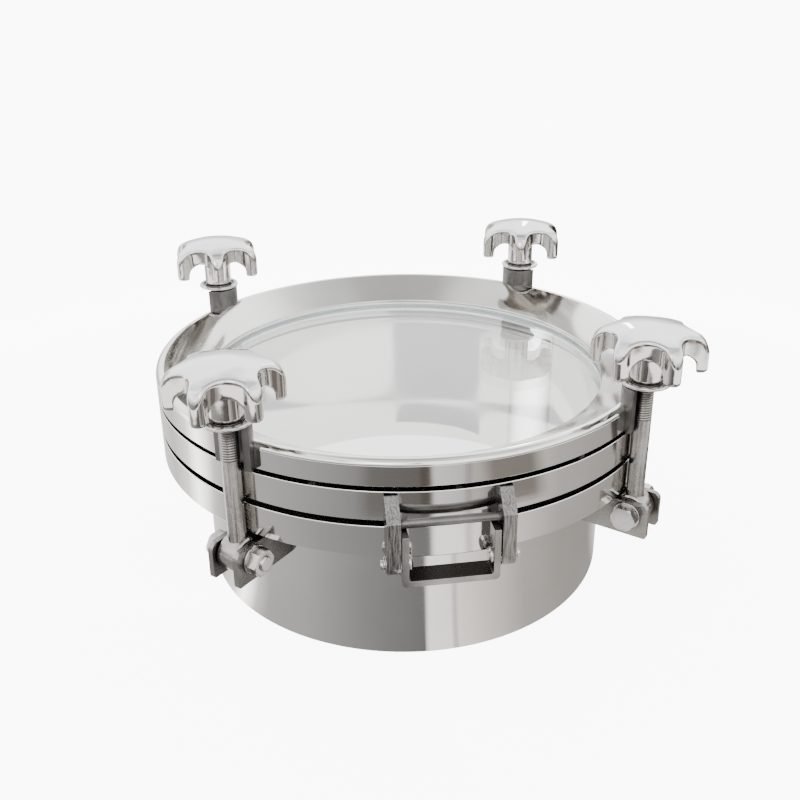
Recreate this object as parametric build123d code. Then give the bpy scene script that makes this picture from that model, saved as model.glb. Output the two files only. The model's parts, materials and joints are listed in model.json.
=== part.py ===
"""Round sight-glass manway cover, 300 mm nominal, on its weld-in neck.

Units are millimetres. The origin is the centre of the neck's lower end, +Z runs up the neck,
and the hinge is near the -Y side. Four swing bolts with star knobs hold the lid, 90 degrees
apart. The lid is two rings screwed together round a tempered glass, and sits on a flat gasket.
"""

from build123d import *
from math import cos, pi, sin, sqrt
import os

# ---- driving dimensions ------------------------------------------------------------------
RING_R = 183.0           # outer radius of the base flange and of both lid rings
NECK_R = 153.0           # outer radius of the neck
NECK_WALL = 3.0
NECK_TOP = 115.5         # the neck ends inside the flange bore
FLANGE_Z = (97.0, 118.5)
SEAL_GAP = 4.0           # thickness of the main gasket
LOWER_RING_H = 20.0
RING_GAP = 3.0           # joint left open between the two lid rings
UPPER_RING_H = 17.5
SIGHT_R = 148.5          # radius of the clear view
GLASS_R = 158.5
GLASS_H = 15.0
GLASS_GASKET_H = 1.5
SCREW_COUNT = 12
SCREW_CIRCLE = 172.0
SCREW_R = 3.0            # M6
SCREW_HEAD_R = 5.0

CLAMP_CIRCLE = 189.5     # radius at which the swing bolts stand
CLAMP_AZIMUTHS = (-45.0, 45.0, 135.0, 225.0)
ROD_R = 6.0              # M12 swing bolt
PIVOT_Z = 84.0
SLEEVE_R = 15.0
SLEEVE_BORE_R = 9.0
SLEEVE_CUT = -2.0        # the half-pipe ends this far inside the clamp's axis
SLEEVE_TOP = 176.0
SEAT_GAP = 1.5           # thrust washer above its seat when the knob is just slack
KNOB_R = 37.0
KNOB_LOBES = 6
KNOB_BOTTOM = 189.0
KNOB_TOP = 218.0
KNOB_BOSS_R = 10.75
KNOB_RESTS = (18.0, 27.0, 16.0, 16.0)   # how far round each knob stands when its clamp is tight

HINGE_PIVOT = (188.0, 98.0)   # distance out from the axis, and height
HINGE_TURN = -2.65            # the hinge stands slightly round from the clamps' midline
HINGE_FRAME_W = 60.0
HINGE_LUG_T = 8.5

EDGE = 1.0               # chamfer on machined edges
RUNNING_GAP = 0.05       # radial clearance of a pin in its eye

LOWER_RING_Z = FLANGE_Z[1] + SEAL_GAP
UPPER_RING_Z = LOWER_RING_Z + LOWER_RING_H + RING_GAP
CREST_Z = UPPER_RING_Z + UPPER_RING_H
NECK_BORE_R = NECK_R - NECK_WALL


# ---- small makers ------------------------------------------------------------------------
def lathe(*points):
    """Solid of revolution about Z from a closed outline of (radius, height) points."""
    outline = Polyline(*points, close=True)
    return revolve(Plane.XZ * make_face(outline), Axis.Z)


def ring(inner, outer, low, high):
    return Pos(0, 0, (low + high) / 2) * (Cylinder(outer, high - low) - Cylinder(inner, high - low))


def drum(radius, low, high):
    return Pos(0, 0, (low + high) / 2) * Cylinder(radius, high - low)


def cross_pin(radius, start, end):
    """Cylinder along Y between two offsets, on the X axis."""
    return Pos(0, (start + end) / 2, 0) * Rot(90, 0, 0) * Cylinder(radius, end - start)


def cross_hex(flats, start, end):
    """Hexagonal prism along Y between two offsets, with its corners turned down on both faces."""
    height = end - start
    prism = extrude(RegularPolygon(flats / 2, 6, major_radius=False), height)
    round_off = chamfer(Cylinder(flats / sqrt(3), height, align=(Align.CENTER, Align.CENTER, Align.MIN))
                        .edges().filter_by(GeomType.CIRCLE), 0.8)
    return Pos(0, end, 0) * Rot(90, 0, 0) * (prism & round_off)


def save(name, shape):
    shape.label = name
    export_step(shape, f"parts/{name}.step")


# ---- neck and base flange ----------------------------------------------------------------
def make_neck():
    return ring(NECK_BORE_R, NECK_R, 0, NECK_TOP)


def make_base_flange():
    low, high = FLANGE_Z
    return lathe((NECK_R, low), (RING_R - EDGE, low), (RING_R, low + EDGE), (RING_R, high - EDGE),
                 (RING_R - EDGE, high), (NECK_R, high))


def make_main_gasket():
    return ring(NECK_R + 3, SCREW_CIRCLE - 6, FLANGE_Z[1], LOWER_RING_Z)


# ---- lid: two rings, glass and gaskets ---------------------------------------------------
REBATE_R = GLASS_R + 1.5
REBATE_Z = LOWER_RING_Z + 5.0
GLASS_Z = REBATE_Z + GLASS_GASKET_H
GLASS_TOP = GLASS_Z + GLASS_H
UPPER_SEAT_Z = UPPER_RING_Z + 0.3
SCREW_HEAD_Z = (LOWER_RING_Z + 0.4, LOWER_RING_Z + 6.4)
SCREW_TIP_Z = UPPER_RING_Z + 9.5


def at_screws(shape):
    return [Rot(0, 0, i * 360 / SCREW_COUNT) * Pos(SCREW_CIRCLE, 0, 0) * shape
            for i in range(SCREW_COUNT)]


def make_lower_ring():
    low, high = LOWER_RING_Z, LOWER_RING_Z + LOWER_RING_H
    body = lathe((SIGHT_R, low), (RING_R - EDGE, low), (RING_R, low + EDGE), (RING_R, high - EDGE),
                 (RING_R - EDGE, high), (REBATE_R, high), (REBATE_R, REBATE_Z), (SIGHT_R, REBATE_Z))
    hole = drum(SCREW_R + 0.3, low, high) + drum(SCREW_HEAD_R + 0.5, low, SCREW_HEAD_Z[1])
    return body - at_screws(hole)


def make_upper_ring():
    """Bevelled top ring: a wide face falls inwards to a thin lip over the glass."""
    low, high, nose = UPPER_RING_Z, CREST_Z, 4.0
    with BuildSketch(Plane.XZ) as section:
        with BuildLine():
            Polyline((RING_R, high - nose), (RING_R, low + EDGE), (RING_R - EDGE, low),
                     (REBATE_R + 0.5, low), (REBATE_R + 0.5, UPPER_SEAT_Z), (SIGHT_R, UPPER_SEAT_Z),
                     (SIGHT_R, UPPER_SEAT_Z + 1.8), (RING_R - nose - 2, high), (RING_R - nose, high))
            RadiusArc((RING_R - nose, high), (RING_R, high - nose), nose)
        make_face()
    body = revolve(section.sketch, Axis.Z)
    body -= at_screws(drum(SCREW_R + 0.03, low, SCREW_TIP_Z))
    body -= [at_clamp(drum(SLEEVE_R, low, high), a) for a in CLAMP_AZIMUTHS]
    return body


def make_glass():
    disc = drum(GLASS_R, GLASS_Z, GLASS_TOP)
    return chamfer(disc.edges().filter_by(GeomType.CIRCLE), EDGE)


def make_lid_screw():
    """Socket-head screw, put in from below, head down."""
    head = chamfer(drum(SCREW_HEAD_R, *SCREW_HEAD_Z).edges().group_by(Axis.Z)[0], 0.6)
    socket = Pos(0, 0, SCREW_HEAD_Z[0]) * extrude(RegularPolygon(2.5, 6, major_radius=False), 3)
    return head + drum(SCREW_R, SCREW_HEAD_Z[1], SCREW_TIP_Z) - socket


# ---- hinge -------------------------------------------------------------------------------
FRAME_BAR = 4.2
FRAME_FRONT = HINGE_PIVOT[0] + 5.5
FRAME_BACK = HINGE_PIVOT[0] - 9.5
FRAME_BOTTOM = 83.5
WASHER_T = 0.6
LUG_IN = HINGE_FRAME_W / 2 + WASHER_T
LUG_OUT = LUG_IN + HINGE_LUG_T
LUG_HALF = 6.5
HINGE_PIN_R = 3.0
HINGE_HEAD_R = 5.0
CLIP_IN = LUG_OUT + 0.9
CLIP_T = 0.8
CLIP_GROOVE_R = 2.3
TIE_BAR = (189.5, 126.0, 2.8)   # distance out, height and radius


def at_hinge(shape):
    return Rot(0, 0, HINGE_TURN) * shape


def across(shape, side):
    """Stand a shape built along Y on the hinge pivot, pointing to one side along X."""
    out, height = HINGE_PIVOT
    return Pos(0, -out, height) * Rot(0, 0, -90 * side) * shape


def make_hinge_frame():
    """Flat bar bent to a U and welded on edge to the flange."""
    top = FLANGE_Z[1]
    height = top - FRAME_BOTTOM
    outer = Pos(0, (top + FRAME_BOTTOM) / 2) * Rectangle(HINGE_FRAME_W, height)
    outer = fillet(outer.vertices().group_by(Axis.Y)[0], 3)
    inner = Pos(0, (top + FRAME_BOTTOM + FRAME_BAR) / 2) * Rectangle(HINGE_FRAME_W - 2 * FRAME_BAR,
                                                                     height - FRAME_BAR)
    inner = fillet(inner.vertices().group_by(Axis.Y)[0], 1.2)
    face = Plane(origin=(0, -FRAME_BACK, 0), x_dir=(1, 0, 0), z_dir=(0, -1, 0)) * (outer - inner)
    frame = extrude(face, FRAME_FRONT - FRAME_BACK) - drum(RING_R, *FLANGE_Z)
    return frame - [across(cross_pin(HINGE_PIN_R + RUNNING_GAP, 0, 40), side) for side in (-1, 1)]


def make_hinge_lug(side):
    """Plate welded to the rim of the lower lid ring, reaching down to the hinge pivot."""
    out, height = HINGE_PIVOT
    front, back = -out - LUG_HALF, -out + LUG_HALF
    under, top = LOWER_RING_Z + 0.4, LOWER_RING_Z + LOWER_RING_H - 0.5
    weld, slope = -RING_R + 5, 13
    with BuildSketch(Plane.YZ) as plate:
        with BuildLine():
            Polyline((back, height), (back, under), (weld, under), (weld, top), (-RING_R, top),
                     (front, top - slope), (front, height))
            ThreePointArc((front, height), (-out, height - LUG_HALF), (back, height))
        make_face()
    inner_x = LUG_IN if side > 0 else -LUG_OUT
    lug = Pos(inner_x, 0, 0) * extrude(plate.sketch, HINGE_LUG_T) - drum(RING_R, 0, CREST_Z)
    return lug - across(cross_pin(HINGE_PIN_R + RUNNING_GAP, 0, 40), side)


def make_hinge_pivot(side):
    """Short pivot with a low domed head inside the frame and a clip groove outside the lug."""
    head_in, head_t, tail = HINGE_FRAME_W / 2 - FRAME_BAR, 2.6, 2.6
    groove_end = CLIP_IN + CLIP_T + 0.1
    head = cross_pin(HINGE_HEAD_R, head_in - head_t, head_in)
    head = chamfer(head.faces().sort_by(Axis.Y)[0].edges(), 1.2)
    shank = cross_pin(HINGE_PIN_R, head_in, CLIP_IN + tail)
    groove = cross_pin(4.0, CLIP_IN, groove_end) - cross_pin(CLIP_GROOVE_R, CLIP_IN, groove_end)
    return across(head + shank - groove, side)


def make_hinge_tie_bar():
    """Round bar welded between the two lugs, just above the joint."""
    out, height, radius = TIE_BAR
    return Pos(0, -out, height) * Rot(0, 0, 90) * cross_pin(radius, -LUG_IN, LUG_IN)


def make_hinge_washers():
    spacer = (HINGE_FRAME_W / 2, LUG_IN)
    outer = (LUG_OUT, LUG_OUT + 0.8)
    return [across(cross_pin(5.5, *span) - cross_pin(HINGE_PIN_R + RUNNING_GAP, *span), side)
            for side in (-1, 1) for span in (spacer, outer)]


def make_hinge_clip(side):
    """Open retaining clip snapped in the groove of a pivot."""
    start, end, mouth = CLIP_IN + 0.05, CLIP_IN + 0.05 + CLIP_T, 3.4
    clip = cross_pin(HINGE_HEAD_R, start, end) - cross_pin(CLIP_GROOVE_R + RUNNING_GAP, start, end)
    slot = Pos(-HINGE_PIN_R, (start + end) / 2, 0) * Box(2 * HINGE_PIN_R, 2 * CLIP_T, mouth)
    return across(clip - slot, side)


# ---- clamps: built on the +X side, then turned round Z ------------------------------------
EAR_IN, EAR_T = 8.5, 4.0
EAR_OUT_R = CLAMP_CIRCLE + 14.5
EAR_Z = (69.0, 94.0)
EAR_FACE = EAR_IN + EAR_T
PIN_R = 5.0
CLEVIS_WASHER = 1.6
ROD_TOP = 205.0
WASHER_R = 16.0
WASHER_Z = (SLEEVE_TOP + SEAT_GAP, SLEEVE_TOP + SEAT_GAP + 2.2)
BOLT_HEX = 16.0
BOLT_HEAD_T, NUT_T = 6.4, 8.0
EYE_R, EYE_HALF = 12.0, 8.0
OUTER = (Align.MIN, Align.CENTER, Align.MIN)


def at_clamp(shape, azimuth):
    """Move a shape from the Z axis to one clamp's axis."""
    return Rot(0, 0, azimuth) * Pos(CLAMP_CIRCLE, 0, 0) * shape


def at_pivot(shape, azimuth):
    return at_clamp(Pos(0, 0, PIVOT_Z) * shape, azimuth)


def make_sleeve():
    """Half-pipe guide let into the rim, open outwards so that the bolt swings clear."""
    tube = ring(SLEEVE_BORE_R, SLEEVE_R, UPPER_RING_Z, SLEEVE_TOP)
    tube = chamfer(tube.edges().filter_by(GeomType.CIRCLE).group_by(Axis.Z)[-1], 0.6)
    height = SLEEVE_TOP - UPPER_RING_Z
    cut = Pos(SLEEVE_CUT, 0, UPPER_RING_Z) * Box(2 * SLEEVE_R, 3 * SLEEVE_R, height + 1, align=OUTER)
    return tube - cut


def make_bracket():
    """Clevis folded from one plate: two ears and a back that is welded to the neck."""
    back, low, high = NECK_R - CLAMP_CIRCLE, *EAR_Z
    reach = EAR_OUT_R - CLAMP_CIRCLE
    ear = Pos((reach + back) / 2 - 1, (low + high) / 2) * Rectangle(reach - back + 2, high - low)
    outer_corners = ear.vertices().group_by(Axis.X)[-1].sort_by(Axis.Y)
    ear = fillet(outer_corners[-1:], 5)
    ear = fillet(ear.vertices().group_by(Axis.X)[-1].sort_by(Axis.Y)[0], 2)
    ears = [Plane.XZ.offset(start) * ear for start in (EAR_IN, -EAR_FACE)]
    solid = extrude(ears[0], EAR_T) + extrude(ears[1], EAR_T)
    solid += Pos(back + 1, 0, (low + high) / 2) * Box(6, 2 * EAR_FACE, high - low)
    inside_bend = solid.edges().filter_by(Axis.Z).filter_by_position(Axis.X, back + 3.9, back + 4.1)
    solid = fillet(inside_bend, 2)
    solid -= Pos(0, 0, PIVOT_Z) * cross_pin(PIN_R + RUNNING_GAP, -20, 20)
    return solid - Pos(-CLAMP_CIRCLE, 0, 0) * drum(NECK_R, 0, CREST_Z)


def make_clevis_bolt():
    face = EAR_FACE + CLEVIS_WASHER
    shank = cross_pin(PIN_R, -face, face + NUT_T + 1.6)
    tip = shank.faces().sort_by(Axis.Y)[-1].edges()
    return chamfer(tip, 0.8) + cross_hex(BOLT_HEX, -face - BOLT_HEAD_T, -face)


def make_clevis_washers():
    return [cross_pin(9.5, *span) - cross_pin(PIN_R + RUNNING_GAP, *span)
            for span in ((-EAR_FACE - CLEVIS_WASHER, -EAR_FACE), (EAR_FACE, EAR_FACE + CLEVIS_WASHER))]


def make_clevis_nut():
    start = EAR_FACE + CLEVIS_WASHER
    return cross_hex(BOLT_HEX, start, start + NUT_T) - cross_pin(PIN_R, start, start + NUT_T)


def make_swing_bolt():
    """Eye bolt: the eye turns on the clevis bolt and the rod stands up through the sleeve."""
    eye = chamfer(cross_pin(EYE_R, -EYE_HALF, EYE_HALF).edges().filter_by(GeomType.CIRCLE), EDGE)
    rod = chamfer(drum(ROD_R, 0, ROD_TOP - PIVOT_Z).edges().group_by(Axis.Z)[-1], 1.2)
    return eye + rod - cross_pin(PIN_R + RUNNING_GAP, -9, 9)


def make_thrust_washer():
    return chamfer(ring(ROD_R + 0.2, WASHER_R, *WASHER_Z).edges().filter_by(GeomType.CIRCLE), 0.3)


def star_outline(radius, lobes):
    """Convex lobe tips joined by hollow scallops, every arc tangent to the next."""
    tip, hollow = 5.0, 15.4
    tip_at = radius - tip
    half = pi / lobes
    # the scallop's centre, so that it touches both of its tips from outside
    hollow_at = tip_at * cos(half) + sqrt((tip + hollow) ** 2 - (tip_at * sin(half)) ** 2)
    lines = []
    for i in range(lobes):
        mid = 2 * i * half

        def polar(r, a):
            return Vector(r * cos(a), r * sin(a))

        here = polar(tip_at, mid)
        before, after = polar(hollow_at, mid - half), polar(hollow_at, mid + half)
        start = here + (before - here).normalized() * tip
        end = here + (after - here).normalized() * tip
        following = polar(tip_at, mid + 2 * half)
        arrive = following + (after - following).normalized() * tip
        lines.append(ThreePointArc(start, polar(radius, mid), end))
        lines.append(ThreePointArc(end, polar(hollow_at - hollow, mid + half), arrive))
    return make_face(lines)


def make_star_knob():
    """Cast star grip: low dome, six lobes, hollow underside and a boss with a blind thread.

    The hollow is wider than the scallops are deep, so it breaks out between the lobes as arches.
    """
    bottom, top, shoulder = KNOB_BOTTOM, KNOB_TOP, KNOB_R - 9
    star = Pos(0, 0, bottom) * extrude(star_outline(KNOB_R, KNOB_LOBES), top - bottom)
    with BuildSketch(Plane.XZ) as dome:
        with BuildLine():
            Polyline((0, top), (0, bottom), (KNOB_R - 1, bottom), (KNOB_R, bottom + 1),
                     (KNOB_R, top - 15))
            ThreePointArc((KNOB_R, top - 15), (KNOB_R - 3, top - 8), (shoulder, top - 4.5))
            ThreePointArc((shoulder, top - 4.5), (shoulder / 2, top - 1.1), (0, top))
        make_face()
    star &= revolve(dome.sketch, Axis.Z)
    with BuildSketch(Plane.XZ) as hollow:
        with BuildLine():
            Polyline((KNOB_R - 6.5, bottom), (KNOB_BOSS_R, bottom), (KNOB_BOSS_R, bottom + 11))
            ThreePointArc((KNOB_BOSS_R, bottom + 11), (KNOB_BOSS_R + 2.4, bottom + 15.8),
                          (KNOB_BOSS_R + 7, bottom + 17.5))
            ThreePointArc((KNOB_BOSS_R + 7, bottom + 17.5), (KNOB_R - 10, bottom + 13),
                          (KNOB_R - 6.5, bottom))
        make_face()
    star -= revolve(hollow.sketch, Axis.Z)
    star += drum(KNOB_BOSS_R, WASHER_Z[1], bottom)
    return star - drum(ROD_R + RUNNING_GAP, WASHER_Z[1], ROD_TOP + 2)


# ---- write the parts -----------------------------------------------------------------------
os.makedirs("parts", exist_ok=True)

save("neck_shell", make_neck())
save("base_flange", make_base_flange())
save("main_gasket", make_main_gasket())
save("lid_lower_ring", make_lower_ring())
save("glass_lower_gasket", ring(SIGHT_R + 0.5, GLASS_R + 1, REBATE_Z, GLASS_Z))
save("sight_glass", make_glass())
save("glass_upper_gasket", ring(SIGHT_R + 0.5, GLASS_R + 1, GLASS_TOP, UPPER_SEAT_Z))
save("lid_upper_ring", make_upper_ring())
save("lid_screws", Compound(children=at_screws(make_lid_screw())))

save("hinge_frame", at_hinge(make_hinge_frame()))
save("hinge_lug_left", at_hinge(make_hinge_lug(-1)))
save("hinge_lug_right", at_hinge(make_hinge_lug(1)))
save("hinge_tie_bar", at_hinge(make_hinge_tie_bar()))
save("hinge_pivots", Compound(children=[at_hinge(make_hinge_pivot(side)) for side in (-1, 1)]))
save("hinge_washers", Compound(children=[at_hinge(washer) for washer in make_hinge_washers()]))
save("hinge_clips", Compound(children=[at_hinge(make_hinge_clip(side)) for side in (-1, 1)]))

for number, (azimuth, rest) in enumerate(zip(CLAMP_AZIMUTHS, KNOB_RESTS), start=1):
    save(f"clamp_sleeve_{number}", at_clamp(make_sleeve(), azimuth))
    save(f"clevis_bracket_{number}", at_clamp(make_bracket(), azimuth))
    save(f"clevis_bolt_{number}", at_pivot(make_clevis_bolt(), azimuth))
    washers = [at_pivot(washer, azimuth) for washer in make_clevis_washers()]
    save(f"clevis_washers_{number}", Compound(children=washers))
    save(f"clevis_nut_{number}", at_pivot(make_clevis_nut(), azimuth))
    save(f"swing_bolt_{number}", at_pivot(make_swing_bolt(), azimuth))
    save(f"thrust_washer_{number}", at_clamp(make_thrust_washer(), azimuth))
    save(f"star_knob_{number}", at_clamp(Rot(0, 0, rest) * make_star_knob(), azimuth))
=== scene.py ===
import json
import math
import random

import bpy
from mathutils import Matrix, Vector


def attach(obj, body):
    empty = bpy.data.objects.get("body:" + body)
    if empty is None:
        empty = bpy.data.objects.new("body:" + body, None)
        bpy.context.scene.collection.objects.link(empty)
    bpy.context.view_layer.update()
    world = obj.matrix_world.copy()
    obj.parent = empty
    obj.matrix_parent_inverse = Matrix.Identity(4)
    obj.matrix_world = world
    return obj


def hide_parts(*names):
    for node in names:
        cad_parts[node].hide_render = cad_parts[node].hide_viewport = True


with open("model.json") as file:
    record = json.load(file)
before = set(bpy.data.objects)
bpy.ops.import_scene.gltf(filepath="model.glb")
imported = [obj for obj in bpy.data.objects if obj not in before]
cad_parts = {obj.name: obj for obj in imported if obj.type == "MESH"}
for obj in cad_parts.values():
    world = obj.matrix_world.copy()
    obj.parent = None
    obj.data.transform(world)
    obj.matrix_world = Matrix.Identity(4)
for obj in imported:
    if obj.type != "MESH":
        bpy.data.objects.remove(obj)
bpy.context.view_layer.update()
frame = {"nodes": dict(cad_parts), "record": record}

# ---- Neck -----------------------------------------------------------------------------------
# Rolled and welded stainless tube, polished round its axis inside and out. Its lower end is
# faced square for welding into the tank; its upper end stands inside the base flange.


class Shade:
    """An output in a node tree; arithmetic on it adds the Math node."""

    def __init__(self, tree, output=None):
        self.tree, self.output = tree, output

    def node(self, kind, inputs=(), out=0, stops=(), **settings):
        """Add any node: its settings first, then values or links for its sockets by name."""
        made = self.tree.nodes.new("ShaderNode" + kind)
        for name, value in settings.items():
            setattr(made, name, value)
        if stops:
            ramp = made.color_ramp.elements
            while len(ramp) < len(stops):
                ramp.new(0.5)
            for element, (place, colour) in zip(ramp, stops):
                element.position = place
                element.color = (*colour, 1) if isinstance(colour, tuple) else (colour,) * 3 + (1,)
        for name, value in dict(inputs).items():
            self.link(value, made.inputs[name])
        return Shade(self.tree, made.outputs[out])

    def link(self, value, socket):
        if isinstance(value, Shade):
            self.tree.links.new(value.output, socket)
        else:
            socket.default_value = value

    def maths(self, operation, *values):
        return self.node("Math", enumerate(values), operation=operation)

    def part(self, axis):
        """One number of a vector output."""
        return self.node("SeparateXYZ", {0: self}, out=axis)

    def mix(self, low, high):
        """A colour between two, by this output."""
        colours = [(*c, 1) if isinstance(c, tuple) else c for c in (low, high)]
        return self.node("Mix", {0: self, 6: colours[0], 7: colours[1]}, out=2, data_type="RGBA")

    def __add__(self, other):
        return self.maths("ADD", self, other)

    def __sub__(self, other):
        return self.maths("SUBTRACT", self, other)

    def __rsub__(self, other):
        return self.maths("SUBTRACT", other, self)

    def __mul__(self, other):
        return self.maths("MULTIPLY", self, other)

    def __truediv__(self, other):
        return self.maths("DIVIDE", self, other)

    def __rtruediv__(self, other):
        return self.maths("DIVIDE", other, self)

    __radd__, __rmul__ = __add__, __mul__


def finish_of(name, paint, fixed):
    """A finish: paint(shade) gives the sockets that vary, fixed the constant ones."""
    material = bpy.data.materials.new(name)
    material.use_nodes = True
    shade = Shade(material.node_tree)
    surface = material.node_tree.nodes["Principled BSDF"]
    for socket, value in {**fixed, **paint(shade)}.items():
        shade.link(value, surface.inputs[socket])
    return material


def place_of(shade):
    return shade.node("TexCoord", out="Object")


def noise(place, scale, detail=2.0):
    """Random variation over a surface; scale is in cells to the metre."""
    return place.node("TexNoise", {"Vector": place, "Scale": scale, "Detail": detail})


def tones(by, low, high, start=0.3, end=0.7):
    """A colour or level that goes from low to high as another value goes from start to end."""
    return by.node("ValToRGB", {"Fac": by}, stops=((start, low), (end, high)))


def relief(height, strength, depth, under=None):
    """Fine relief for the Normal socket, depth in metres, over a coarser one if there is one."""
    sockets = {"Height": height, "Strength": strength, "Distance": depth}
    if under:
        sockets["Normal"] = under
    return height.node("Bump", sockets)


def polished_round(shade):
    """Fine polishing lines round the axis, with soft cloudy patches and a faint waviness."""
    lines_to_metre, arcs_to_radian = 1900.0, 2.0
    place = place_of(shade)
    x, y, height = place.part("X"), place.part("Y"), place.part("Z")
    out, turn = shade.maths("SQRT", x * x + y * y), shade.maths("ARCTAN2", y, x)
    round_it = shade.node("CombineXYZ", {"X": out * lines_to_metre, "Y": height * lines_to_metre,
                                         "Z": turn * arcs_to_radian})
    lines, cloud, wave = noise(round_it, 1.0, 3.0), noise(place, 14.0, 4.0), noise(place, 22.0, 1.0)
    return {"Base Color": tones(cloud, (0.600, 0.585, 0.565), (0.665, 0.655, 0.640)),
            "Roughness": 0.03 + lines * 0.05 + cloud * 0.05,
            "Normal": relief(lines, 0.06, 0.0002, under=relief(wave, 0.25, 0.0006))}


polished_steel = finish_of("polished_steel", polished_round, {"Metallic": 1.0, "Anisotropic": 0.4})

MM = 0.001


def rounded(corners, steps=4):
    """Closed (distance, height) outline in mm, each corner turned to an arc of its third number."""
    outline = []
    for before, here, after in zip(corners[-1:] + corners[:-1], corners, corners[1:] + corners[:1]):
        point, radius = Vector(here[:2]), here[2]
        if not radius:
            outline.append(point)
            continue
        back, on = ((Vector(p[:2]) - point).normalized() for p in (before, after))
        half = back.angle(on) / 2
        centre = point + (back + on).normalized() * radius / math.sin(half)
        reach = radius / math.tan(half)
        start, end = point + back * reach - centre, point + on * reach - centre
        outline += [centre + start.lerp(end, k / steps).normalized() * radius for k in range(steps + 1)]
    return outline


def solid(name, points, faces):
    """A mesh object from points in mm; it gets its finish and its body later."""
    mesh = bpy.data.meshes.new(name)
    mesh.from_pydata([Vector(p) * MM for p in points], [], faces)
    made = bpy.data.objects.new(name, mesh)
    bpy.context.scene.collection.objects.link(made)
    return made


def lathed(name, outline, steps=240, centre=(0, 0)):
    """A closed outline of (distance, height) points turned round an upright axis."""
    count = len(outline)
    points = [(centre[0] + p[0] * math.cos(a), centre[1] + p[0] * math.sin(a), p[1])
              for a in (2 * math.pi * k / steps for k in range(steps)) for p in outline]
    faces = [(k * count + i, (k + 1) % steps * count + i, (k + 1) % steps * count + (i + 1) % count,
              k * count + (i + 1) % count) for k in range(steps) for i in range(count)]
    return solid(name, points, faces)


def finished(made, material, body="manway", replaces=()):
    """Shade a solid smooth between its sharp edges, and let it ride on its body."""
    mesh = made.data
    mesh.polygons.foreach_set("use_smooth", [True] * len(mesh.polygons))
    mesh.set_sharp_from_angle(angle=math.radians(38))
    mesh.materials.clear()
    mesh.materials.append(material)
    made.modifiers.new("even shading", "WEIGHTED_NORMAL").keep_sharp = True
    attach(made, body)
    if replaces:
        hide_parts(*replaces)


neck_in, neck_out, neck_top = 150.0, 153.0, 115.5
finished(lathed("neck", rounded([(neck_in, 0, 0.5), (neck_out, 0, 0.5), (neck_out, neck_top, 0.4),
                                 (neck_in, neck_top, 0.4)])),
         polished_steel, replaces=["neck_shell"])

# ---- Base flange and main gasket ------------------------------------------------------------
# A heavy turned ring, welded round the top of the neck and polished with it. The flat gasket on
# it is black rubber, set back from the rim so that only its edge shows in the joint.
rim, hair = 183.0, 0.02
flange_low, flange_top = 97.0, 118.5
finished(lathed("flange", rounded([(neck_out + hair, flange_low, 0), (rim, flange_low, 0.8),
                                   (rim, flange_top, 0.6), (neck_out + hair, flange_top, 0)])),
         polished_steel, replaces=["base_flange"])


def soft_black(shade):
    """Matt moulded rubber with a greyish bloom."""
    place = place_of(shade)
    speck, bloom = noise(place, 900.0, 3.0), noise(place, 25.0)
    return {"Base Color": tones(bloom, 0.008, 0.018, start=0.35), "Roughness": 0.5 + bloom * 0.2,
            "Normal": relief(speck, 0.25, 0.0001)}


black_rubber = finish_of("black_rubber", soft_black, {"Specular IOR Level": 0.3})
seal_in, seal_out, seal_top, seal_round = 156.0, 166.0, 122.5, 0.6
finished(lathed("main_seal", rounded([(seal_in, flange_top, seal_round), (seal_out, flange_top, seal_round),
                                      (seal_out, seal_top, seal_round), (seal_in, seal_top, seal_round)])),
         black_rubber, replaces=["main_gasket"])

# ---- Welds ----------------------------------------------------------------------------------
# A hand-laid fillet bead under the flange, all the way round the neck. Each short overlap of the
# weld pool leaves a scale; the bead was brushed but not ground off.


def weld_scale(shade):
    """Brushed weld metal, a little straw and blue from the heat."""
    place = place_of(shade)
    heat, speck = noise(place, 38.0), noise(place, 800.0, 3.0)
    tint = shade.node("ValToRGB", {"Fac": heat}, stops=(
        (0.3, (0.36, 0.34, 0.33)), (0.5, (0.50, 0.47, 0.43)), (0.7, (0.46, 0.46, 0.48))))
    return {"Base Color": tint, "Roughness": 0.22 + speck * 0.2, "Normal": relief(speck, 0.3, 0.0001)}


weld_metal = finish_of("weld_metal", weld_scale, {"Metallic": 1.0})
scales, steps_to_scale = 420, 4
scale_height, scale_middle, scale_span, droop = 0.45, 1.2, 1.8, 0.7
leg, sunk_in = 3.4, 0.3
profile = [(neck_out - sunk_in, flange_low - leg), (neck_out + 0.7, flange_low - leg + 0.2),
           (neck_out + 2.3, flange_low - 1.9), (neck_out + leg - 0.1, flange_low - 0.5),
           (neck_out + leg, flange_low + 0.2), (neck_out - sunk_in, flange_low + 0.2)]
open_face = (1, 2, 3)
bead = lathed("neck_weld", profile, steps=scales * steps_to_scale)
wander = random.Random(5)
swell = [wander.uniform(0.75, 1.25) for _ in range(scales)]
for index, vertex in enumerate(bead.data.vertices):
    station, corner = divmod(index, len(profile))
    scale, step = divmod(station, steps_to_scale)
    if corner in open_face:
        push = scale_height * MM * swell[scale] * (step - scale_middle) / scale_span
        vertex.co.xy *= 1 + push / vertex.co.xy.length
        vertex.co.z -= push * droop
finished(bead, weld_metal)

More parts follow.
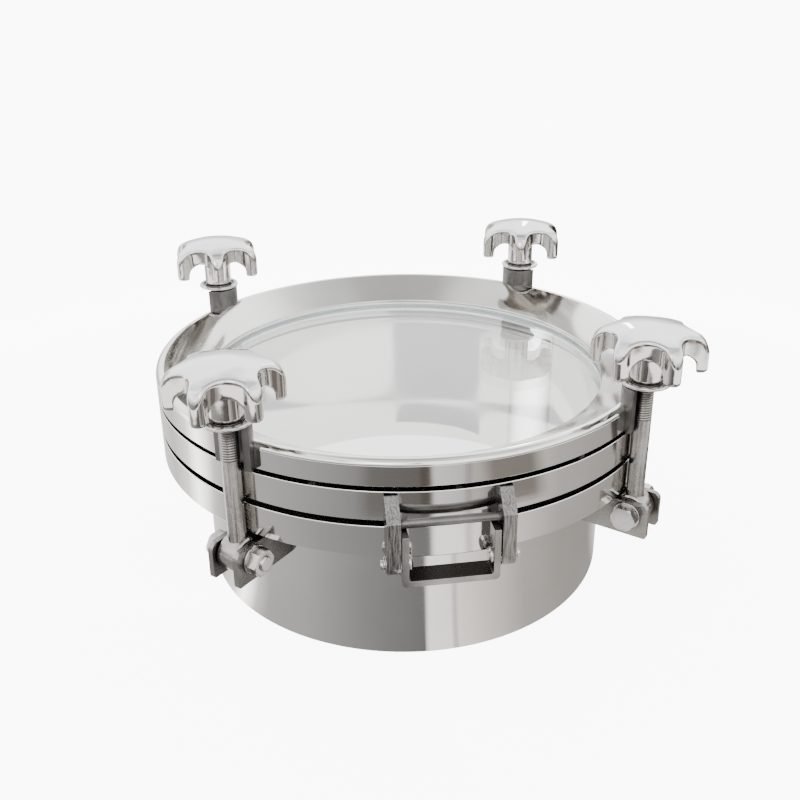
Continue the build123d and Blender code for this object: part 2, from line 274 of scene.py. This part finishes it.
# ---- Lid rings ------------------------------------------------------------------------------
# Two turned rings screwed together from below. The lower one is plain and square; the upper one
# has a rounded crest and a wide bevel that falls inwards to a thin lip over the glass. A round
# bite is cut out of its rim at each clamp, for the guide.
lower_top, upper_low, crest = 142.5, 145.5, 163.0
sight, rebate, rebate_floor = 148.5, 160.0, 127.5
recess, recess_top, lip, crest_width = rebate + 0.5, upper_low + 0.3, 2.1, 6.0
clamp_circle, guide_r = 189.5, 15.0
azimuths = [math.radians(a) for a in (-45, 45, 135, 225)]
clamps = [(clamp_circle * math.cos(a), clamp_circle * math.sin(a)) for a in azimuths]
finished(lathed("lower_ring", rounded([(sight, seal_top, 0.5), (rim, seal_top, 0.6), (rim, lower_top, 0.6),
                                       (rebate, lower_top, 0.5), (rebate, rebate_floor, 0),
                                       (sight, rebate_floor, 0.5)])),
         polished_steel, replaces=["lid_lower_ring"])


def applied(made):
    """Turn the object's modifiers into its mesh."""
    graph = bpy.context.evaluated_depsgraph_get()
    mesh = bpy.data.meshes.new_from_object(made.evaluated_get(graph))
    made.modifiers.clear()
    made.data = mesh


def carved(made, cutter, operation="DIFFERENCE"):
    """Cut one solid with another, or join the two, and drop the second."""
    cut = made.modifiers.new("cut", "BOOLEAN")
    cut.operation, cut.solver, cut.object = operation, "EXACT", cutter
    applied(made)
    bpy.data.objects.remove(cutter)


upper_ring = lathed("upper_ring", rounded([(sight, recess_top, 0.2), (sight, upper_low + lip, 0.8),
                                           (rim - crest_width, crest, 3.0), (rim - hair / 2, crest, 4.0),
                                           (rim, upper_low, 0.8), (recess, upper_low, 0),
                                           (recess, recess_top, 0)], steps=6), steps=360)
overrun, axis_gap = 5.0, 0.01
for centre in clamps:
    bite = [(axis_gap, upper_low - overrun), (guide_r + hair, upper_low - overrun),
            (guide_r + hair, crest + overrun), (axis_gap, crest + overrun)]
    carved(upper_ring, lathed("bite", bite, steps=96, centre=centre))
finished(upper_ring, polished_steel, replaces=["lid_upper_ring"])

# ---- Sight glass ----------------------------------------------------------------------------
# One clear tempered disc, ground and chamfered at its edge, held between two thin white
# silicone gaskets in the rebate of the lower ring. Shadow rays pass, so that daylight falls in.
glass_r, glass_low, glass_top, chamfer = 158.5, 129.0, 144.0, 1.0


def disc(name, radius, low, high, edge, steps=240):
    """A flat disc with a chamfered rim; both faces are single flat polygons."""
    rings = ((radius - edge, low), (radius, low + edge), (radius, high - edge), (radius - edge, high))
    points = [(r * math.cos(a), r * math.sin(a), z) for r, z in rings
              for a in (2 * math.pi * k / steps for k in range(steps))]
    faces = [(j * steps + i, j * steps + (i + 1) % steps, (j + 1) * steps + (i + 1) % steps,
              (j + 1) * steps + i) for j in range(3) for i in range(steps)]
    faces += [tuple(range(steps - 1, -1, -1)), tuple(range(3 * steps, 4 * steps))]
    return solid(name, points, faces)


def wiped_glass(shade):
    """Almost colourless glass, wiped clean but for faint smears."""
    place = place_of(shade)
    return {"Base Color": tones(noise(place, 3.0), (0.955, 0.985, 0.975), (0.975, 0.990, 0.985)),
            "Roughness": noise(place, 9.0, 3.0) * 0.02}


glass = finish_of("clear_glass", wiped_glass, {"Transmission Weight": 1.0, "IOR": 1.51})
shade = Shade(glass.node_tree)
surface, result = (glass.node_tree.nodes[name] for name in ("Principled BSDF", "Material Output"))
daylight = shade.node("MixShader", {0: shade.node("LightPath", out="Is Shadow Ray"),
                                    1: Shade(glass.node_tree, surface.outputs[0]),
                                    2: shade.node("BsdfTransparent")})
shade.link(daylight, result.inputs["Surface"])
finished(disc("glass_disc", glass_r, glass_low, glass_top, chamfer), glass,
         replaces=["sight_glass"])


def silicone(shade):
    """White silicone, soft and slightly uneven."""
    place = place_of(shade)
    speck, bloom = noise(place, 700.0, 3.0), noise(place, 30.0)
    return {"Base Color": tones(bloom, (0.72, 0.72, 0.70), (0.80, 0.80, 0.78), start=0.35),
            "Roughness": 0.4 + bloom * 0.2, "Normal": relief(speck, 0.2, 0.0001)}


white_silicone = finish_of("white_silicone", silicone, {"Subsurface Weight": 0.2})
band_in, band_out, band_round = 149, 159.5, 0.4
for name, node, low, high in (("lower_glass_seal", "glass_lower_gasket", rebate_floor, glass_low),
                              ("upper_glass_seal", "glass_upper_gasket", glass_top, recess_top)):
    finished(lathed(name, rounded([(band_in, low, band_round), (band_out, low, band_round),
                                   (band_out, high, band_round), (band_in, high, band_round)])),
             white_silicone, replaces=[node])

# ---- Guides, clevises, fasteners and hinge --------------------------------------------------
# Half-pipes let into the lid, welded brackets with their bolts, and the hinge. Their shapes come
# with the frame; each gets its finish, by its name or else its slot, and a fine round on its edges.


def dark_satin(shade):
    """Drawn tube, dull and dark, with faint lines along its length."""
    place = place_of(shade)
    lines = noise(shade.node("Mapping", {"Vector": place, "Scale": (1200.0, 1200.0, 30.0)}), 1.0, 4.0)
    return {"Base Color": tones(noise(place, 60.0), (0.10, 0.096, 0.09), (0.15, 0.145, 0.14)),
            "Roughness": 0.3 + lines * 0.14, "Normal": relief(lines, 0.12, 0.0001)}


def brushed_plate(shade):
    """Cut and bent plate with a coarse brushed face; painted shade darkens its inner corners."""
    place = place_of(shade)
    lines = noise(shade.node("Mapping", {"Vector": place, "Scale": (300.0, 300.0, 1800.0)}), 1.0, 5.0)
    steel = tones(noise(place, 45.0, 3.0), (0.22, 0.21, 0.20), (0.31, 0.295, 0.28))
    # Painted shade: ambient occlusion darkens the colour in corners and between parts.
    corner_occlusion = shade.node("AmbientOcclusion", {"Distance": 0.022}, out="AO", samples=8)
    corner_shade_mask = tones(corner_occlusion, 0.0, 1.0, 0.35, 0.85)
    return {"Base Color": corner_shade_mask.mix((0.03, 0.028, 0.026), steel), "Roughness": 0.2 + lines * 0.16,
            "Normal": relief(lines, 0.12, 0.0001)}


def facing_up(shade, start, end, most=1.0):
    """How far the surface faces up, from 0 at start to most at end."""
    return tones(shade.node("TexCoord", out="Normal").part("Z"), 0.0, most, start, end)


def dull_bar(shade):
    """Square bar as it came from the mill; painted shade darkens its upper faces."""
    place = place_of(shade)
    speck = noise(place, 650.0, 4.0)
    steel = tones(noise(place, 55.0, 3.0), (0.20, 0.19, 0.18), (0.30, 0.29, 0.28))
    # Painted shade: faces that point up are mixed towards near black.
    return {"Base Color": facing_up(shade, 0.6, 0.9).mix(steel, (0.035, 0.032, 0.03)),
            "Roughness": 0.2 + speck * 0.1, "Normal": relief(speck, 0.06, 0.0001)}


def ground_plate(shade):
    """Hand-ground plate: short bright strokes crossing at a steep angle; painted shade darkens the top."""
    place = place_of(shade)
    strokes = [noise(shade.node("Mapping", {"Vector": place, "Rotation": (lean, lean * 0.6, 0.0),
                                            "Scale": (900.0, 900.0, 70.0)}), 1.0)
               for lean in (0.35, -0.5)]
    hatch = shade.maths("MAXIMUM", *strokes)
    steel = tones(hatch, (0.10, 0.095, 0.09), (0.28, 0.27, 0.26), 0.42, 0.64)
    # Painted shade: faces that point up are mixed towards a dark grey.
    return {"Base Color": facing_up(shade, 0.4, 0.8, most=0.7).mix(steel, (0.05, 0.047, 0.045)),
            "Roughness": 0.12 + hatch * 0.2, "Normal": relief(hatch, 0.3, 0.0004)}


def bright_fastener(shade):
    """Bright stainless bolts, nuts and washers, handled but clean."""
    place = place_of(shade)
    speck = noise(place, 500.0, 4.0)
    return {"Base Color": tones(noise(place, 90.0), (0.40, 0.385, 0.37), (0.52, 0.505, 0.49)),
            "Roughness": 0.1 + speck * 0.16, "Normal": relief(speck, 0.1, 0.0001)}


def bolt_finish(shade):
    """Turned rod: smooth below; its upper part shows an M12 thread in relief, with painted shade in the
    valleys.
    """
    pitch, thread_from, thread_depth = 0.00175, 0.152, 0.0006
    place = place_of(shade)
    height = place.part("Z")
    wave = shade.maths("PINGPONG", height, pitch / 2) * (2 / pitch)
    threaded = shade.maths("GREATER_THAN", height, thread_from)
    cloud = noise(place, 120.0, 3.0)
    steel = tones(cloud, (0.26, 0.24, 0.225), (0.37, 0.345, 0.325))
    # Painted shade: the thread's valleys are mixed towards near black.
    thread_valley_shade = threaded * (1.0 - wave) * 0.75
    return {"Base Color": thread_valley_shade.mix(steel, (0.06, 0.055, 0.05)), "Roughness": 0.16 + cloud * 0.16,
            "Normal": relief(threaded * wave, 0.9, thread_depth)}


metal = {"Metallic": 1.0}
by_name = {"clevis_bracket": finish_of("brushed_plate", brushed_plate, metal),
           "hinge_frame": finish_of("dull_bar", dull_bar, metal),
           # Painted shade: the tie bar between the lugs gets the dark finish to stand for the shade there.
           "hinge_tie_bar": finish_of("tie_bar_painted_shade", dark_satin, metal),
           # Painted shade: the lid screws deep in the gap between the rings get the dark finish to stand for
           # the shade there.
           "lid_screws": finish_of("screws_painted_shade", dark_satin, metal),
           "hinge_lug": finish_of("ground_plate", ground_plate, metal)}
by_slot = {"satin_steel": finish_of("dark_satin", dark_satin, metal),
           "bright_hardware": finish_of("bright_fastener", bright_fastener, metal),
           "rod_steel": finish_of("bolt_steel", bolt_finish, metal)}
slots = {part["node"]: part["material_slot"] for part in frame["record"]["subparts"]}
made_later = ("star_knob", "thrust_washer")
for name, node in frame["nodes"].items():
    if node.hide_render or name.startswith(made_later):
        continue
    named = [finish for start, finish in by_name.items() if name.startswith(start)]
    node.data.materials.clear()
    node.data.materials.append(named[0] if named else by_slot.get(slots[name], polished_steel))
    node.modifiers.new("join", "WELD").merge_threshold = 0.01 * MM
    edge = node.modifiers.new("edge round", "BEVEL")
    edge.width, edge.segments, edge.angle_limit = 0.3 * MM, 2, math.radians(40)
    edge.harden_normals = True

# ---- Thrust washers -------------------------------------------------------------------------
# Wide bright washers that carry the knob's pull to the guide, with a groove round the boss.
# They turn against the guide; inside the rounded rim their colour is a painted shadow from the knob above.
washer_low, washer_top = 177.5, 179.7
rod_r, washer_r, bright_from = 6.0, 16.0, 14.0
groove_in, groove_out, groove_deep = 11.0, 12.6, 1.1


def washer_painted_shadow(shade):
    """Bright on its rounded rim; inside the rim a painted shadow from the knob above darkens it."""
    place = place_of(shade)
    from_clamp = [shade.maths("ABSOLUTE", place.part(axis)) - clamp_circle * MM * math.sqrt(0.5)
                  for axis in "XY"]
    off_axis = shade.maths("SQRT", from_clamp[0] * from_clamp[0] + from_clamp[1] * from_clamp[1])
    ramp_reach = 20.0
    on_rim = tones(off_axis * (1 / (ramp_reach * MM)), 0.0, 1.0,
                   bright_from / ramp_reach, (bright_from + 0.9) / ramp_reach)
    speck = noise(place, 700.0, 3.0)
    # Painted shadow: inside the rim the washer is dark, standing for the knob's shadow above it.
    return {"Base Color": on_rim.mix((0.16, 0.15, 0.14), (0.62, 0.61, 0.59)),
            "Roughness": 0.14 + speck * 0.2, "Normal": relief(speck, 0.15, 0.0001)}


washer_shadow_steel = finish_of("washer_painted_shadow", washer_painted_shadow, metal)
washer = rounded([(rod_r + 0.3, washer_low, 0.3), (washer_r, washer_low, 0.5), (washer_r, washer_top, 0.8),
                  (groove_out, washer_top, 0.3), (groove_out - 0.3, washer_top - groove_deep, 0.2),
                  (groove_in + 0.3, washer_top - groove_deep, 0.2), (groove_in, washer_top, 0.1),
                  (rod_r + 0.3, washer_top, 0.3)])
for number, centre in enumerate(clamps, start=1):
    finished(lathed(f"rim_washer_{number}", washer, steps=96, centre=centre), washer_shadow_steel,
             body=f"washer_{number}", replaces=[f"thrust_washer_{number}"])

# ---- Star knobs -----------------------------------------------------------------------------
# Cast stainless star grips, tumbled and buffed. Six lobes round a low dome; the underside is
# hollow and breaks out between the lobes as arches, with the threaded boss inside.
lobes, knob_r, tip, scallop = 6, 37.0, 5.0, 15.4
knob_low, knob_top, boss_r, bore_r = 189.0, 218.0, 10.75, rod_r + 0.25
knob_turns = (18.0, 27.0, 16.0, 16.0)
tip_at, half_lobe = knob_r - tip, math.pi / lobes
scallop_at = (tip_at * math.cos(half_lobe)
              + math.sqrt((tip + scallop) ** 2 - (tip_at * math.sin(half_lobe)) ** 2))


def star(inset, arc_steps=8):
    """Outline of the star, drawn in by an even inset: tips joined by tangent scallops."""
    centre = Vector((scallop_at * math.cos(half_lobe), scallop_at * math.sin(half_lobe)))
    lean = math.atan2(scallop_at * math.sin(half_lobe), scallop_at * math.cos(half_lobe) - tip_at)
    half_scallop = lean - half_lobe
    points = []
    for lobe in range(lobes):
        turn = Matrix.Rotation(2 * half_lobe * lobe, 2)
        for k in range(arc_steps):
            a = -lean + 2 * lean * k / arc_steps
            points.append(turn @ Vector((tip_at + (tip - inset) * math.cos(a), (tip - inset) * math.sin(a))))
        for k in range(2 * arc_steps):
            a = math.pi + half_lobe + half_scallop - half_scallop * k / arc_steps
            points.append(turn @ (centre + (scallop + inset) * Vector((math.cos(a), math.sin(a)))))
    return points


def crown(radius):
    """Fall of the dome below its top, in mm: gentle to the middle of the lobes, then steep."""
    gentle_to, gentle_fall, steepening = 28.0, 4.5, 0.0098
    return gentle_fall * (radius / gentle_to) ** 2 + steepening * max(0.0, radius - gentle_to) ** 3


def domed_star():
    """The knob's outer form on the Z axis: rings of points from the crown to the foot, in mm."""
    edge, core, core_rings, edge_steps = 1.6, 4.2, 12, 5
    outlines = [([p * (k / core_rings) for p in star(core)], 0.0) for k in range(1, core_rings + 1)]
    outlines += [(star(core + (edge - core) * k / 3), 0.0) for k in (1, 2)]
    outlines += [(star(edge * (1 - math.sin(a))), edge * (1 - math.cos(a)))
                 for a in (math.pi / 2 * k / edge_steps for k in range(edge_steps + 1))]
    rings = [[(p.x, p.y, knob_top - crown(p.length) - drop) for p in outline] for outline, drop in outlines]
    rings += [[(p.x, p.y, knob_low + lift) for p in star(inset)]
              for inset, lift in ((0, edge), (0.5, 0.5), (edge, 0))]
    count = len(rings[0])
    points = [(0, 0, knob_top)] + [p for ring in rings for p in ring]
    faces = [(0, 1 + i, 1 + (i + 1) % count) for i in range(count)]
    faces += [(1 + k * count + i, 1 + (k + 1) * count + i, 1 + (k + 1) * count + (i + 1) % count,
               1 + k * count + (i + 1) % count) for k in range(len(rings) - 1) for i in range(count)]
    faces.append(tuple(range(len(points) - 1, len(points) - 1 - count, -1)))
    return solid("casting", points, faces)


def knob_casting():
    """The domed star hollowed from below round its boss, bored, and softened as a casting is."""
    knob, below, well_top = domed_star(), knob_low - 2, knob_low + 17.5
    well = rounded([(knob_r - 6.5, below, 0), (knob_r - 7.5, knob_low + 8, 8), (knob_r - 16, well_top, 6),
                    (boss_r + 4, well_top, 5), (boss_r, knob_low + 8, 0), (boss_r, below, 0)], steps=8)
    carved(knob, lathed("well", well, steps=96))
    boss = [(bore_r, washer_top), (boss_r - 0.6, washer_top), (boss_r, washer_top + 0.6),
            (boss_r, knob_low + 4), (bore_r, knob_low + 4)]
    carved(knob, lathed("boss", boss, steps=96), "UNION")
    bore_low, bore_top = knob_low - 12, knob_top - 11
    bore = [(axis_gap, bore_low), (bore_r, bore_low), (bore_r, bore_top), (axis_gap, bore_top)]
    carved(knob, lathed("bore", bore, steps=96))
    even = knob.modifiers.new("even", "REMESH")
    even.mode, even.voxel_size, even.adaptivity = "VOXEL", 0.55 * MM, 0.0
    soften = knob.modifiers.new("soften", "SMOOTH")
    soften.factor, soften.iterations = 0.5, 9
    applied(knob)
    return knob


def buffed_casting(shade):
    """Buffed cast steel with a casting's slow ripple; painted shade darkens the sides below the crown."""
    place = place_of(shade)
    ripple, speck = noise(place, 75.0, 1.0), noise(place, 600.0, 3.0)
    crown_steel = tones(ripple, (0.60, 0.60, 0.60), (0.66, 0.66, 0.665))
    # Painted shade: faces that turn away from up are mixed towards a darker grey.
    return {"Base Color": facing_up(shade, 0.1, 0.7).mix((0.43, 0.41, 0.39), crown_steel),
            "Roughness": 0.03 + speck * 0.06,
            "Normal": relief(speck, 0.05, 0.0001, under=relief(ripple, 0.3, 0.0007))}


buffed_steel = finish_of("buffed_casting", buffed_casting, metal)
casting = knob_casting()
for number, (azimuth, turned_by) in enumerate(zip(azimuths, knob_turns), start=1):
    grip = bpy.data.objects.new(f"star_grip_{number}", casting.data.copy())
    bpy.context.scene.collection.objects.link(grip)
    grip.data.transform(Matrix.Rotation(azimuth, 4, "Z") @ Matrix.Translation((clamp_circle * MM, 0, 0))
                        @ Matrix.Rotation(math.radians(turned_by), 4, "Z"))
    finished(grip, buffed_steel, body=f"knob_{number}", replaces=[f"star_knob_{number}"])
bpy.data.objects.remove(casting)

# ---- Floor, light and camera ----------------------------------------------------------------
# A wide pale floor under a soft dome, with a softbox in front and a strip light behind. Polished
# metal shows only what stands round it, so reflections see the room's brighter and duller sides.
full, front = 6.0, math.radians(-101)
room_sides = (  # degrees round from the front, and the light that comes from there
    (-88, 1.6), (-65, 1.3), (-57, 2.2), (-52, 6.0), (-46, 1.5), (-41, 0.85), (-28, 0.72), (-11, 0.46),
    (5.2, 0.29), (5.8, 2.4), (12.2, 2.2), (13, 0.7), (13.8, 1.95), (22, 1.4), (34, 0.8), (50, 0.62),
    (70, 0.5), (88, 1.6))


def room(shade, place, bulge):
    """Light of the room by the side it comes from.

    A round wall mirrors a near point from a steeper angle than a far one, so the sides are read
    in terms of the wall that shows them; bulge is the wall's radius over the point's distance.
    """
    turn = shade.maths("ARCTAN2", place.part("Y"), place.part("X")) - front
    side = shade.maths("WRAP", turn, -math.pi, math.pi)
    facing = side / (2.0 - bulge) * (1 / math.pi) + 0.5
    warm_from, warm, plain = 13, (1.0, 0.945, 0.895), (1.0, 0.99, 0.98)
    return shade.node("ValToRGB", {"Fac": facing}, stops=[
        ((angle + 90) / 180, tuple(light / full * tint for tint in (warm if angle > warm_from else plain)))
        for angle, light in room_sides])


def stage_sheet(name, corners, material, seen_by):
    """One flat face that isn't part of the object, shown only to the kinds of ray named."""
    sheet = solid(name, corners, [(0, 1, 2, 3)])
    sheet.data.materials.append(material)
    for ray in ("camera", "diffuse", "glossy", "transmission", "shadow", "volume_scatter"):
        setattr(sheet, "visible_" + ray, ray in seen_by)


def floor_sheet(name, height, material, seen_by):
    reach = 20000
    corners = [(x * reach, y * reach, height) for x, y in ((-1, -1), (1, -1), (1, 1), (-1, 1))]
    stage_sheet(name, corners, material, seen_by)


def pale(shade):
    """Pale matt paint."""
    cloud = noise(place_of(shade), 3.0)
    return {"Base Color": tones(cloud, 0.84, 0.87), "Roughness": 0.6 + cloud * 0.1}


pale_floor = finish_of("pale_floor", pale, {"Emission Color": (1, 1, 1, 1), "Emission Strength": 8.0})
floor_sheet("floor", 0, pale_floor, ("camera", "diffuse", "shadow"))


def glowing(name, strength, paint):
    """An emissive stage material; paint(shade) gives its colour."""
    material = bpy.data.materials.new(name)
    material.use_nodes = True
    tree = material.node_tree
    tree.nodes.remove(tree.nodes["Principled BSDF"])
    shade = Shade(tree)
    glow = shade.node("Emission", {"Color": paint(shade), "Strength": strength})
    shade.link(glow, tree.nodes["Material Output"].inputs["Surface"])
    return material


def around_neck(shade, place, away):
    """The floor outside the neck: the room's light, darker patches further out, and a pale ring."""
    patches_from = 0.38
    beyond = shade.maths("GREATER_THAN", away, patches_from)
    degrees = shade.maths("ARCTAN2", place.part("Y"), place.part("X")) * (180 / math.pi)
    clamp_side, clamp_half = -2.0, 14.0
    by_clamp = shade.maths("LESS_THAN", shade.maths("ABSOLUTE", degrees - clamp_side), clamp_half)
    hinge_from, hinge_over = -120.0, 80
    by_hinge = shade.node("ValToRGB", {"Fac": (degrees - hinge_from) * (1 / hinge_over)}, stops=(
        (0.03, 0.0), (0.10, 0.55), (0.30, 0.5), (0.31, 0.9), (0.34, 0.9), (0.36, 0.45), (0.56, 0.6),
        (0.62, 0.85), (0.80, 0.8), (0.88, 0.0)))
    pale_ring = shade.node("ValToRGB", {"Fac": away}, stops=(
        (0.60, 0.0), (0.62, 1.0), (0.70, 1.0), (0.78, 0.0)))
    sides = room(shade, place, neck_out * MM / away)
    sides = (by_clamp * beyond).mix(sides, (0.015, 0.014, 0.013))
    sides = (by_hinge * beyond).mix(sides, (0.025, 0.021, 0.018))
    return pale_ring.mix(sides, (0.70, 0.70, 0.70))


def inside_neck(shade, place):
    """The floor under the glass: daylight, with a dark sheet that only the far wall mirrors."""
    sheet_way = math.radians(79)
    sheet_end, sheet_left, sheet_right = 0.122, -0.62, 0.055
    x, y = place.part("X"), place.part("Y")
    depth = x * math.cos(sheet_way) + y * math.sin(sheet_way)
    aside = y * math.cos(sheet_way) - x * math.sin(sheet_way)
    seam = aside / (depth * 2.0 - neck_in * MM)
    on_sheet = (shade.node("LightPath", out="Is Reflection Ray")
                * shade.maths("LESS_THAN", seam, sheet_right) * shade.maths("GREATER_THAN", seam, sheet_left)
                * shade.maths("LESS_THAN", depth, sheet_end))
    return on_sheet.mix((0.46, 0.46, 0.455), (0.09, 0.09, 0.09))


def floor_light(shade):
    """What mirrors see of the floor."""
    place = place_of(shade)
    x, y = place.part("X"), place.part("Y")
    away = shade.maths("SQRT", x * x + y * y)
    inside = shade.maths("LESS_THAN", away, neck_in * MM)
    return inside.mix(around_neck(shade, place, away), inside_neck(shade, place))


mirrored_floor = glowing("floor_light", full, floor_light)
floor_sheet("floor_in_reflections", 0.2, mirrored_floor, ("glossy", "transmission"))


def softbox(name, azimuth, height, distance, size, strength):
    """A lit panel facing the object, soft at its sides, seen only in reflections and as light."""
    azimuth, lean = math.radians(azimuth), math.atan2(height, distance)

    def soft_sided(shade):
        place = place_of(shade)
        turned = shade.maths("ARCTAN2", place.part("Y"), place.part("X")) - azimuth
        aside = shade.maths("ABSOLUTE", shade.maths("WRAP", turned, -math.pi, math.pi))
        return tones(aside * (distance * 2 / size[0]), 1.0, 0.12, 0.25, 0.95)

    turn, middle = Matrix.Rotation(azimuth, 4, "Z"), Vector((distance, 0, height))
    across = Vector((0, size[0] / 2, 0))
    up = Vector((-math.sin(lean), 0, math.cos(lean))) * (size[1] / 2)
    corners = [turn @ (middle + across * i + up * j) for i, j in ((-1, -1), (1, -1), (1, 1), (-1, 1))]
    stage_sheet(name, corners, glowing(name, strength, soft_sided), ("diffuse", "glossy", "transmission"))


softbox("front_softbox", -112, 1700, 2300, (1500, 900), 7.0)
softbox("strip_light", 68.8, 1500, 3000, (170, 900), 16.0)

world = bpy.data.worlds.new("studio")
bpy.context.scene.world = world
world.use_nodes = True
shade = Shade(world.node_tree)
background = world.node_tree.nodes["Background"]
way = shade.node("TexCoord", out="Generated")
height = way.part("Z")
soft = noise(way, 1.9)
overhead = tones(soft, (0.40, 0.41, 0.42), (0.62, 0.62, 0.62), 0.40, 0.56)
ceiling = tones(height, 0.0, 1.0, 0.72, 0.96).mix(overhead, tones(soft, 0.14, 0.42, 0.42, 0.6))
around = tones(height, 0.0, 1.0, 0.03, 0.30).mix(room(shade, way, 0.0), ceiling)
white = 1.85
seen = shade.node("LightPath", out="Is Camera Ray")
shade.link(seen.mix(around, (white, white, white)), background.inputs["Color"])
background.inputs["Strength"].default_value = full

lens = bpy.data.cameras.new("camera")
lens.lens, lens.sensor_width = 42.53, 36
lens.shift_x, lens.shift_y = -0.0016, -0.0413
camera = bpy.data.objects.new("camera", lens)
yaw, pitch, roll = math.radians(-10.85), math.radians(67.0), math.radians(-0.57)
camera.matrix_world = (Matrix.Translation((-0.1269, -0.6536, 0.4274)) @ Matrix.Rotation(yaw, 4, "Z")
                       @ Matrix.Rotation(pitch, 4, "X") @ Matrix.Rotation(roll, 4, "Z"))
bpy.context.scene.collection.objects.link(camera)
bpy.context.scene.camera = camera
